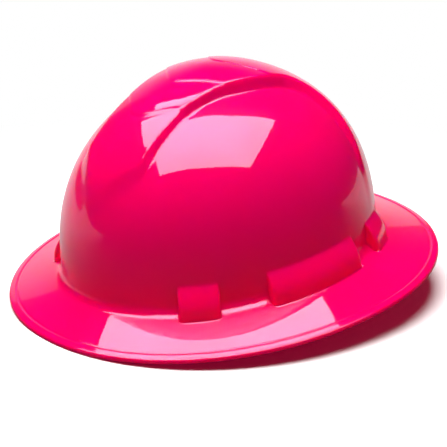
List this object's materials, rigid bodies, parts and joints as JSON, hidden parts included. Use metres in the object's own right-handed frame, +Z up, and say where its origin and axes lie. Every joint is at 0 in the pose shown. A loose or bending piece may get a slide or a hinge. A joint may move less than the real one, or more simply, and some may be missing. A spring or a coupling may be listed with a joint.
{
  "type": "full brim hard hat",
  "caption": "Full brim hard hat: glossy moulded shell with a stepped crown and side blocks, strap suspension, padded headband and a nape ratchet with a turning knob.",
  "frame": {"origin": "middle of the bounding box, at the level of the table the hat stands on", "axes": "+X to the wearer's left, -Y to the front of the hat, +Z up; the hat stands on the front of its brim and on the lower face of the ratchet housing, so the brim slopes down to the front by about six degrees"},
  "size_m": [0.2946, 0.3185, 0.1703],
  "materials": {
    "shell": "smooth high gloss moulded plastic",
    "suspension": "fine grained moulded nylon",
    "webbing": "flat woven strap",
    "pad": "brushed knit over foam",
    "acetal": "slick unpainted acetal",
    "grip": "soft fluted rubber",
    "steel": "zinc plated"
  },
  "bodies": {
    "hat": {"shell": "shell", "key_front_left": "suspension", "key_front_right": "suspension", "key_rear_left": "suspension", "key_rear_right": "suspension", "crown_strap_lower": "webbing", "crown_strap_upper": "webbing", "crown_pad": "pad", "headband": "suspension", "brow_pad": "pad", "pivot_pin_left": "suspension", "pivot_pin_right": "suspension"},
    "nape": {"nape_sleeve_left": "suspension", "nape_sleeve_right": "suspension", "ratchet_housing": "suspension", "ratchet_plate": "suspension", "nape_pad": "pad"},
    "arm_left": {"ratchet_arm_left": "suspension"},
    "arm_right": {"ratchet_arm_right": "suspension"},
    "knob_set": {"ratchet_pinion": "acetal", "pawl_spring": "acetal", "knob": "suspension", "knob_grip": "grip", "knob_screw": "steel", "knob_cap": "suspension"}
  },
  "joints": [
    {"name": "nape_tilt", "type": "hinge", "parent": "hat", "child": "nape", "pos_m": [0, 0.01634, 0.03476], "axis": [1, 0, 0], "range_deg": [-14, 0]},
    {"name": "knob_turn", "type": "hinge", "parent": "nape", "child": "knob_set", "pos_m": [0, 0.10134, 0.0197], "axis": [0, 1, 0], "range_deg": [-343.7, 343.7]},
    {"name": "left_arm_slide", "type": "hinge", "parent": "nape", "child": "arm_left", "pos_m": [0, 0.01634, 0.0197], "axis": [0, 0, 1], "range_deg": [-20.5, 20.5]},
    {"name": "right_arm_slide", "type": "hinge", "parent": "nape", "child": "arm_right", "pos_m": [0, 0.01634, 0.0197], "axis": [0, 0, 1], "range_deg": [-21.1, 21.1]}
  ],
  "couplings": [
    {"joint": "left_arm_slide", "follows": "knob_turn", "ratio": -0.059172},
    {"joint": "right_arm_slide", "follows": "knob_turn", "ratio": 0.060753}
  ]
}
